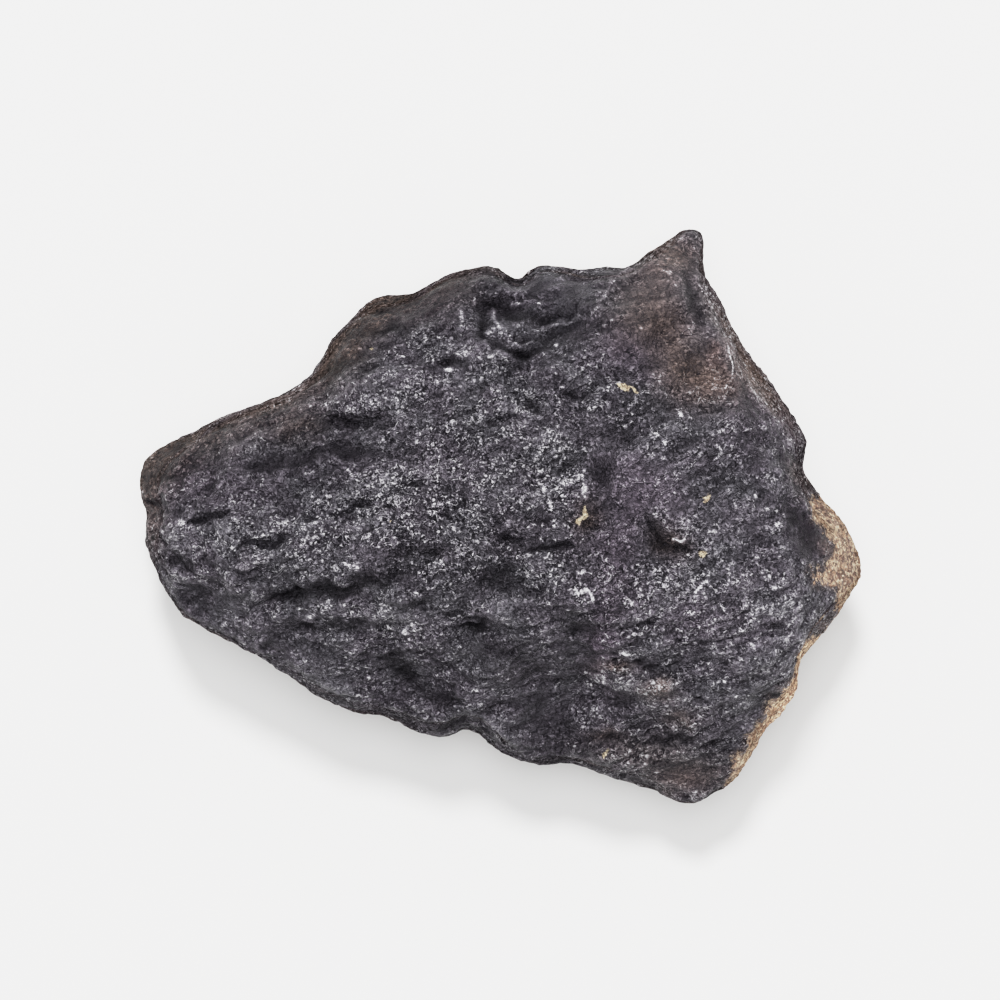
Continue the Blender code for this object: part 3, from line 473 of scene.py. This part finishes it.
def field(points, size, offset=0.0, stretch=1.0, octaves=1):
    """Smooth noise from about -1 to 1, whose lumps are of the size given, drawn out along the flow."""
    along, across = rotated(points[:, 0], points[:, 1], FLOW_BEARING)
    places = np.stack([along / stretch, across, points[:, 2]], axis=1) / size + offset
    if octaves == 1:
        return np.array([noise.noise(place) for place in places.tolist()])
    return np.array([noise.fractal(place, 1.0, 2.0, octaves) for place in places.tolist()])


def creased(points, size, offset, stretch):
    """Rounded lumps with sharp creases between them, from about -0.2 to 0.5."""
    return np.abs(field(points, size, offset, stretch, 2)) - 0.2


def strayed(points):
    """The plan places of the points, pushed about so that drawn marks look grown and not ruled."""
    x = points[:, 0] + WANDER * field(points, 1.5, 20.0, octaves=3)
    y = points[:, 1] + WANDER * field(points, 1.5, 40.0, octaves=3)
    return x, y


def line_distance(x, y, line):
    """How far each point lies from a line."""
    nearest = np.full(len(x), np.inf)
    for (ax, ay), (bx, by) in zip(line[:-1], line[1:]):
        run, rise = bx - ax, by - ay
        share = np.clip(((x - ax) * run + (y - ay) * rise) / (run * run + rise * rise), 0, 1)
        nearest = np.minimum(nearest, np.hypot(x - ax - share * run, y - ay - share * rise))
    return nearest


def line_relief(x, y, lines, spread=1.0):
    """What a list of lines adds at each point: its amount on a line, fading to both sides."""
    height = np.zeros(len(x))
    for amount, half_width, line in lines:
        height += amount * np.exp(-((line_distance(x, y, line) / half_width / spread) ** 2))
    return height


def spot_relief(x, y, spots, spread=1.0):
    """What a list of oval spots adds at each point: its amount in the middle, fading outwards."""
    height = np.zeros(len(x))
    for px, py, length, width, bearing, amount in spots:
        along, across = rotated((x - px) / spread, (y - py) / spread, bearing)
        height += amount * np.exp(-((along / length) ** 2) - (across / width) ** 2)
    return height


def is_within(x, y, corners):
    """Which points lie inside a closed outline."""
    inside = np.zeros(len(x), dtype=bool)
    for (ax, ay), (bx, by) in zip(corners, corners[1:] + corners[:1]):
        crosses = (ay > y) != (by > y)
        with np.errstate(divide="ignore", invalid="ignore"):
            at = (bx - ax) * (y - ay) / (by - ay) + ax
        inside ^= crosses & (x < at)
    return inside


def ramp(values, low, high):
    """0 at low and below, 1 at high and above, smooth between."""
    share = np.clip((values - low) / (high - low), 0, 1)
    return share * share * (3 - 2 * share)


def held(values):
    """The values held between 0 and 1."""
    return np.clip(values, 0, 1)


# ---------------------------------------------------------------- mesh


def read_points(mesh):
    points = np.empty(len(mesh.vertices) * 3)
    mesh.vertices.foreach_get("co", points)
    return points.reshape(-1, 3) / MM


def read_normals(mesh):
    normals = np.empty(len(mesh.vertices) * 3)
    mesh.vertices.foreach_get("normal", normals)
    return normals.reshape(-1, 3)


def read_mask(mesh, name):
    values = np.empty(len(mesh.vertices))
    mesh.attributes[name].data.foreach_get("value", values)
    return values


def write_points(mesh, points):
    mesh.vertices.foreach_set("co", (points * MM).ravel())
    mesh.update()


def write_mask(mesh, name, values):
    """Notes a value at each point of the mesh, for the material to read."""
    attribute = mesh.attributes.new(name, "FLOAT", "POINT")
    attribute.data.foreach_set("value", values.astype(np.float32))


def triangle_counts(mesh):
    """How many triangles each face is worth."""
    return np.array([len(face.vertices) - 2 for face in mesh.polygons])


def bake_modifiers(piece):
    graph = bpy.context.evaluated_depsgraph_get()
    mesh = bpy.data.meshes.new_from_object(piece.evaluated_get(graph))
    piece.modifiers.clear()
    piece.data = mesh


def fine_stone():
    """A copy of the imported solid, remade in small even faces with its facets smoothed away."""
    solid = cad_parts[NODE]
    stone = bpy.data.objects.new("meteorite_crust", solid.data.copy())
    bpy.context.scene.collection.objects.link(stone)
    remesh = stone.modifiers.new("fine faces", "REMESH")
    remesh.mode = "VOXEL"
    remesh.voxel_size = FINE_GRAIN * MM
    smooth = stone.modifiers.new("no facets", "SMOOTH")
    smooth.factor = 0.5
    smooth.iterations = SMOOTHING_ROUNDS
    bake_modifiers(stone)
    return stone


def thin_part(stone, chosen, face_count):
    """Collapses faces at the chosen points only, until the stone has no more than the count given."""
    group = stone.vertex_groups.new(name="chosen")
    group.add(np.flatnonzero(chosen).tolist(), 1.0, "REPLACE")
    thin = stone.modifiers.new("thin faces", "DECIMATE")
    thin.vertex_group = group.name
    thin.ratio = min(1.0, face_count / triangle_counts(stone.data).sum())
    bake_modifiers(stone)
    stone.vertex_groups.clear()


def low_points(mesh):
    """Which points lie on the underside or under an overhang."""
    return read_normals(mesh)[:, 2] < LOW_NORMAL


def thin_faces(stone):
    """Brings the face count down, first low on the stone and then between the marks on top."""
    low = low_points(stone.data)
    counts = triangle_counts(stone.data)
    low_faces = sum(count for face, count in zip(stone.data.polygons, counts) if low[face.vertices[0]])
    thin_part(stone, low, counts.sum() - low_faces + LOW_FACE_COUNT)
    marked = read_mask(stone.data, "glints_and_scratches") + read_mask(stone.data, "speck") > MARKED_FROM
    thin_part(stone, ~marked & ~low_points(stone.data), FACE_COUNT)
    stone.data.shade_smooth()


# ---------------------------------------------------------------- relief


def broken_away(points, normals):
    """How far inside the broken region each point lies, in millimetres, below zero on the crust."""
    x, y, z = points.T
    wander = 0.22 * field(points, 0.8, 3.0, octaves=4)
    distance = line_distance(x, y, BREAK_EDGE)
    depth = np.where(is_within(x, y, BREAK_EDGE + BREAK_BACK), distance, -distance)
    steep = ramp(normals[:, 0], 0.2, 0.6) * (1 - ramp(normals[:, 2], 0.0, 0.3))
    from_near = ramp(y, BREAK_NEAR - 1, BREAK_NEAR + 1)
    depth += BREAK_WALL_REACH * steep * from_near * (1 - ramp(y, BREAK_FAR - 1, BREAK_FAR + 1))
    above_foot = z - BREAK_FOOT - 1.2 * field(points, 3.0, 8.0, octaves=2)
    return np.minimum(depth, above_foot) + wander


def crust_roughness(normals, upper, smooth, dark):
    """How much of its relief the crust has: less where it is smooth or dark, steep, or underneath."""
    rough = 1 - np.clip(smooth + 0.4 * upper * dark, 0, 0.85)
    rough *= 0.3 + 0.7 * ramp(np.abs(normals[:, 2]), 0.25, 0.85)
    rough *= 1 - 0.6 * ramp(-normals[:, 2], 0.0, 0.3)
    return rough


def drawn_marks(points, x, y, dark):
    """The drawn relief of the upper side, and how deep the slits in it are."""
    slits = (0.75 + 0.5 * field(points, 2.5, 60.0)) * line_relief(x, y, SLITS)
    marks = line_relief(x, y, CRESTS) - slits - line_relief(x, y, VALLEYS)
    marks -= spot_relief(x, y, PITS) + DARK_DEPTH * dark
    return marks, slits


def tint_masks(points, normals, x, y, upper, border):
    """Where rust tints the crust: where it is drawn on top, and in patches on the sides."""
    side = 1 - ramp(normals[:, 2], *SIDE_UNTIL)
    brown = (1 - side) * (spot_relief(x, y, BROWN_AREAS) + border)
    brown += side * (0.35 + 0.6 * field(points, 8.0, 11.0, octaves=3))
    return {
        "brown": held(brown),
        "purple": held(spot_relief(x, y, PURPLE_AREAS)),
        "rust": held(upper * spot_relief(x, y, RUST_AREAS)),
    }


def glint_and_scratch_mask(points, upper):
    """The painted glints and the scratches. These keep to their drawn places, without straying."""
    x, y = points[:, 0], points[:, 1]
    glint_and_scratch_marks = spot_relief(x, y, PAINTED_GLINTS, GLINT_SPREAD)
    glint_and_scratch_marks += line_relief(x, y, SCRATCHES, SCRATCH_SPREAD)
    return held(upper * glint_and_scratch_marks)


def carve(stone):
    """Cuts the crust's relief into the fine surface and notes what lies where, for the materials."""
    mesh = stone.data
    points, normals = read_points(mesh), read_normals(mesh)
    x, y = strayed(points)
    upper = ramp(normals[:, 2], *UPPER_FROM)
    inward = broken_away(points, normals)
    is_bare = ramp(inward, -BREAK_EDGE_WIDTH, BREAK_EDGE_WIDTH)
    crust = 1 - is_bare

    border = np.exp(-((line_distance(x, y, BROWN_BORDER) / BROWN_BORDER_WIDTH) ** 2))
    dark = held(spot_relief(x, y, DARK_AREAS) + 0.5 * border)
    smooth = upper * held(spot_relief(x, y, SMOOTH_AREAS))
    marks, slits = drawn_marks(points, x, y, dark)
    creases = sum(height * creased(points, *crease) for height, *crease in CREASES)
    grains = GRAIN_HEIGHT * field(points, GRAIN_SIZE, 2.0, octaves=2)
    swell = crust * crust_roughness(normals, upper, smooth, dark) * (creases + grains)
    bare_grains = is_bare * (BARE_GRAIN_SHARE * grains - CRUST_THICKNESS)
    points += normals * (RELIEF_SHARE * swell + bare_grains)[:, None]
    points[:, 2] += RELIEF_SHARE * upper * crust * marks
    low, high = np.array(CAD_BOX) / MM
    write_points(mesh, np.clip(points, low, high))

    # paler and darker areas, partly the stone's own tone and partly painted light and shade
    tone = np.clip(spot_relief(x, y, TONE_AND_SHADE_AREAS), -1, 1)
    masks = {
        # the relief, which also paints shade into the hollows and light onto the tops
        "relief": swell + upper * crust * marks,
        # the slits, for the painted shade in them
        "slit": held(upper * crust * slits * 2.5),
        # dark crust, with painted shade in it
        "dark": upper * dark,
        "smooth": smooth,
        # where the painted glints are densest
        "glint": held(upper * spot_relief(x, y, GLINT_AREAS)),
        **tint_masks(points, normals, x, y, upper, border),
        # the steep walls, for the painted light on them and for less gloss
        "wall": 1 - ramp(normals[:, 2], *WALL_UNTIL),
        "tone": ramp(normals[:, 2], *TONED_FROM) * tone,
        # the crests, for their worn tops and the painted highlight on them
        "crest": held(upper * crust * line_relief(x, y, CRESTS) * 3),
        "inward": np.clip(inward / STAIN_WIDTH - upper * spot_relief(x, y, RAGGED_AREAS), -1, 1),
        "speck": held(upper * spot_relief(x, y, SPECKS)),
        # painted glints, and the scratches
        "glints_and_scratches": glint_and_scratch_mask(points, upper),
    }
    for name, values in masks.items():
        write_mask(mesh, name, values)


# ---------------------------------------------------------------- materials


def add(tree, kind, settings=(), **inputs):
    """Adds a shader node. An input is given by its name, as a value or as the socket that feeds it."""
    made = tree.nodes.new(kind)
    for name, value in dict(settings).items():
        setattr(made, name, value)
    for name, value in inputs.items():
        socket = made.inputs[int(name[1:]) if name[1:].isdigit() else name.replace("_", " ")]
        if isinstance(value, bpy.types.NodeSocket):
            tree.links.new(value, socket)
        else:
            socket.default_value = value
    return made


def calculate(tree, operation, first, second=0.0):
    """A sum on one or two values. An operation on one value leaves the second out."""
    return add(tree, "ShaderNodeMath", {"operation": operation}, i0=first, i1=second).outputs[0]


def scaled(tree, vector, share):
    return add(tree, "ShaderNodeVectorMath", {"operation": "SCALE"}, Vector=vector, Scale=share).outputs[0]


def mask(tree, name):
    """What carve noted under this name."""
    return add(tree, "ShaderNodeAttribute", {"attribute_name": name}).outputs["Fac"]


def grain(tree, place, scale, detail=2.0, distortion=0.0):
    """Noise from 0 to 1, mostly near 0.5."""
    made = add(tree, "ShaderNodeTexNoise", Vector=place, Scale=scale, Detail=detail, Distortion=distortion)
    return made.outputs["Fac"]


def veined(tree, place, scale, distortion):
    """Noise that falls to 0 along thin winding lines."""
    middle = calculate(tree, "SUBTRACT", grain(tree, place, scale, 3.0, distortion), 0.5)
    return calculate(tree, "ABSOLUTE", middle)


def between(tree, value, low, high, start=0.0, end=1.0):
    """Goes from start to end as the value goes from low to high, smoothly, and stays there beyond."""
    made = add(tree, "ShaderNodeMapRange", {"interpolation_type": "SMOOTHSTEP"}, Value=value)
    for name, number in (("From Min", low), ("From Max", high), ("To Min", start), ("To Max", end)):
        made.inputs[name].default_value = number
    return made.outputs["Result"]


def by_mask(tree, name, low, high, start, end):
    """A value that follows what carve noted, as between does."""
    return between(tree, mask(tree, name), low, high, start, end)


def mixed(tree, share, first, second):
    """A colour between two, each given as a tone or as the socket that feeds it."""
    made = add(tree, "ShaderNodeMix", {"data_type": "RGBA"}, Factor=share)
    for index, value in ((6, first), (7, second)):
        if isinstance(value, bpy.types.NodeSocket):
            tree.links.new(value, made.inputs[index])
        else:
            made.inputs[index].default_value = (*value, 1.0)
    return made.outputs[2]


def stone_places(tree):
    """The place on the stone in millimetres, as it is and drawn out along the flow."""
    at = add(tree, "ShaderNodeTexCoord").outputs["Object"]
    place = scaled(tree, at, 1 / MM)
    turn = (0.0, 0.0, math.radians(FLOW_BEARING))
    drawn_out = add(
        tree, "ShaderNodeMapping", {"vector_type": "TEXTURE"}, Vector=place, Rotation=turn, Scale=FLOW_STRETCH
    ).outputs[0]
    return place, drawn_out


def crust_tint(tree, place):
    """The crust's tint, which rust turns brown or purple in places and near the broken edge."""
    mottle = between(tree, grain(tree, place, 0.35, 3.0), 0.35, 0.65)
    tint = mixed(tree, mottle, *CRUST_TINTS)
    tint = mixed(tree, mask(tree, "purple"), tint, PURPLE_TINT)
    near_edge = by_mask(tree, "inward", -0.9, 0.0, 0.0, 0.8)
    tint = mixed(tree, calculate(tree, "MAXIMUM", mask(tree, "brown"), near_edge), tint, BROWN_TINT)
    return mixed(tree, mask(tree, "rust"), tint, RUST_TINT)


def glint_strokes(tree, place, strokes, calm):
    """Painted glints in bright strokes with black gaps, strongest where the glints are densest, weaker if
    smooth or dark.
    """
    contrast = by_mask(tree, "dark", 0.0, 1.0, *GLINT_CONTRAST)
    zones = between(tree, grain(tree, place, 0.9, 3.0, 0.5), 0.42, 0.58, 0.60, 1.15)
    for share in (by_mask(tree, "glint", 0.0, 1.0, 0.75, 1.15), calm, zones):
        contrast = calculate(tree, "MULTIPLY", contrast, share)
    return calculate(tree, "MULTIPLY", calculate(tree, "SUBTRACT", strokes, 0.5), contrast)


def shaded_cracks_and_highlights(tree, place, drawn_out):
    """Dark crack lines along the flow, shaded like the shadow under a ledge, each with a painted highlight
    beside it, in some zones only.
    """
    seam = calculate(tree, "SUBTRACT", grain(tree, drawn_out, 0.75, 3.0, 0.9), 0.5)
    beside = calculate(tree, "ABSOLUTE", calculate(tree, "SUBTRACT", seam, 0.03))
    crack_shade = between(tree, calculate(tree, "ABSOLUTE", seam), 0.018, 0.0, 0.0, -1.6)
    ledge_highlight = between(tree, beside, 0.016, 0.0, 0.0, 0.9)
    cracked = between(tree, grain(tree, place, 0.5, 2.0), 0.44, 0.56)
    return calculate(tree, "MULTIPLY", calculate(tree, "ADD", crack_shade, ledge_highlight), cracked)


def crust_colour(tree, place, drawn_out, strokes, calm):
    level = glint_strokes(tree, place, strokes, calm)
    patches = between(tree, grain(tree, drawn_out, 1.0, 3.0, 0.4), 0.35, 0.65, -0.36, 0.36)
    changes = [shaded_cracks_and_highlights(tree, place, drawn_out), patches]
    changes += [by_mask(tree, *change) for change in RELIEF_LEVELS]
    changes.append(calculate(tree, "MULTIPLY", mask(tree, "tone"), TONE_AND_SHADE_SHARE))
    changes += [by_mask(tree, *change) for change in MARK_LEVELS]
    for change in changes:
        level = calculate(tree, "ADD", level, change)
    shade = calculate(tree, "MULTIPLY", calculate(tree, "EXPONENT", level), CRUST_SHADE)
    shade = calculate(tree, "MINIMUM", shade, by_mask(tree, "glints_and_scratches", *BRIGHTEST))
    # the brightest crust, mostly painted glints, turns near white
    tint = mixed(tree, between(tree, shade, 0.08, 0.30), crust_tint(tree, place), GLINT_TINT)
    return scaled(tree, tint, shade)


def bare_colour(tree, place, grit):
    """Cream and tan grains, with rust and dark cracks between them, stained near the crust."""
    tan, cream, pale, rust, crack = INNER_TONES
    inner = mixed(tree, between(tree, grain(tree, place, 0.8, 2.0), 0.42, 0.58), tan, cream)
    inner = mixed(tree, between(tree, grit, 0.54, 0.64), inner, pale)
    inner = mixed(tree, between(tree, grit, 0.47, 0.36), inner, rust)
    veins = between(tree, veined(tree, place, 1.5, 1.2), 0.050, 0.012, 0.0, 0.85)
    inner = mixed(tree, veins, inner, crack)
    seams = between(tree, veined(tree, place, 0.9, 0.8), 0.030, 0.005, 0.0, 0.7)
    inner = mixed(tree, seams, inner, rust)
    inner = mixed(tree, by_mask(tree, "inward", 0.5, 0.0, 0.0, 0.4), inner, rust)
    # the tone and shade areas, painted light and shade included, brighten and darken the bare stone too
    return scaled(tree, inner, calculate(tree, "EXPONENT", mask(tree, "tone")))


def speckled(tree, crust, strokes):
    """The crust with tan and cream specks, which its strokes break up."""
    speck = between(tree, calculate(tree, "MULTIPLY", mask(tree, "speck"), strokes), 0.16, 0.26)
    tones = mixed(tree, between(tree, strokes, 0.40, 0.58), *SPECK_TONES)
    return mixed(tree, speck, crust, tones)


def stone_material():
    material = bpy.data.materials.new("crusted stone")
    material.use_nodes = True
    tree = material.node_tree
    shader = tree.nodes["Principled BSDF"]
    place, drawn_out = stone_places(tree)
    strokes = grain(tree, place, *STROKE_GRAIN)
    calm = by_mask(tree, "smooth", 0.0, 1.0, 1.0, 0.62)
    grit = grain(tree, place, 2.5, 3.0, 0.8)

    crust = speckled(tree, crust_colour(tree, place, drawn_out, strokes, calm), strokes)
    raggedness = calculate(tree, "MULTIPLY", calculate(tree, "SUBTRACT", grit, 0.5), 2.2)
    ragged = calculate(tree, "ADD", mask(tree, "inward"), raggedness)
    colour = mixed(tree, between(tree, ragged, -0.12, 0.12), crust, bare_colour(tree, place, grit))
    tree.links.new(colour, shader.inputs["Base Color"])

    shader.inputs["Roughness"].default_value = ROUGHNESS
    shader.inputs["Specular Tint"].default_value = SPECULAR_TINT
    gloss = by_mask(tree, "wall", 0.0, 1.0, GLOSS, 0.0)
    gloss = calculate(tree, "MULTIPLY", gloss, by_mask(tree, "dark", 0.0, 1.0, 1.0, DARK_GLOSS_SHARE))
    tree.links.new(gloss, shader.inputs["Specular IOR Level"])
    height = calculate(tree, "MULTIPLY", strokes, calm)
    bump = add(tree, "ShaderNodeBump", Height=height, Strength=1.0, Distance=BUMP_HEIGHT * MM)
    tree.links.new(bump.outputs[0], shader.inputs["Normal"])
    return material


# ---------------------------------------------------------------- stage


def plain_material(name, colour, roughness):
    material = bpy.data.materials.new(name)
    material.use_nodes = True
    shader = material.node_tree.nodes["Principled BSDF"]
    shader.inputs["Base Color"].default_value = (*colour, 1.0)
    shader.inputs["Roughness"].default_value = roughness
    return material


def make_floor():
    bpy.ops.mesh.primitive_plane_add(size=FLOOR_SIZE)
    floor = bpy.context.object
    floor.name = "floor"
    floor.data.materials.append(plain_material("paper", PAPER, PAPER_ROUGHNESS))


def make_world():
    world = bpy.data.worlds.new("room")
    bpy.context.scene.world = world
    world.use_nodes = True
    world.node_tree.nodes["Background"].inputs["Color"].default_value = (1.0, 1.0, 1.0, 1.0)
    world.node_tree.nodes["Background"].inputs["Strength"].default_value = WORLD_STRENGTH


def make_softbox(name, bearing, elevation, size, energy):
    """A round softbox a metre away, on a bearing and an elevation in degrees, aimed at the stone."""
    lamp = bpy.data.lights.new(name, "AREA")
    lamp.shape = "DISK"
    lamp.size = size
    lamp.energy = energy
    softbox = bpy.data.objects.new(name, lamp)
    bpy.context.scene.collection.objects.link(softbox)
    across, up = math.radians(bearing), math.radians(elevation)
    aim = Vector((math.cos(across) * math.cos(up), math.sin(across) * math.cos(up), math.sin(up)))
    softbox.location = aim
    softbox.rotation_euler = aim.to_track_quat("Z", "Y").to_euler()


def make_camera():
    camera = bpy.data.cameras.new("camera")
    camera.sensor_width = SENSOR_WIDTH
    camera.lens = LENS
    camera.clip_start = 0.01
    camera.clip_end = 10.0
    eye = bpy.data.objects.new("camera", camera)
    bpy.context.scene.collection.objects.link(eye)
    distance = PICTURE_WIDTH * MM / 2 / (SENSOR_WIDTH / 2 / LENS)
    x, y = CAMERA_PLACE
    eye.location = (x * MM, y * MM, distance + FOCUS_HEIGHT * MM)
    bpy.context.scene.camera = eye


def set_tones():
    """Sets the exposure and the curve that it goes with."""
    view = bpy.context.scene.view_settings
    view.view_transform = "Standard"
    view.exposure = EXPOSURE
    view.use_curve_mapping = True
    curve = view.curve_mapping.curves[3]
    curve.points[0].location = TONES[0]
    curve.points[1].location = TONES[-1]
    for tone in TONES[1:-1]:
        curve.points.new(*tone)
    for point in list(curve.points)[:2]:
        point.handle_type = "VECTOR"
    view.curve_mapping.update()


def build():
    stone = fine_stone()
    carve(stone)
    thin_faces(stone)
    stone.data.materials.clear()
    stone.data.materials.append(stone_material())
    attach(stone, "root")
    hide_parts(NODE)
    make_floor()
    make_world()
    for softbox in SOFTBOXES:
        make_softbox(*softbox)
    make_camera()
    set_tones()


build()
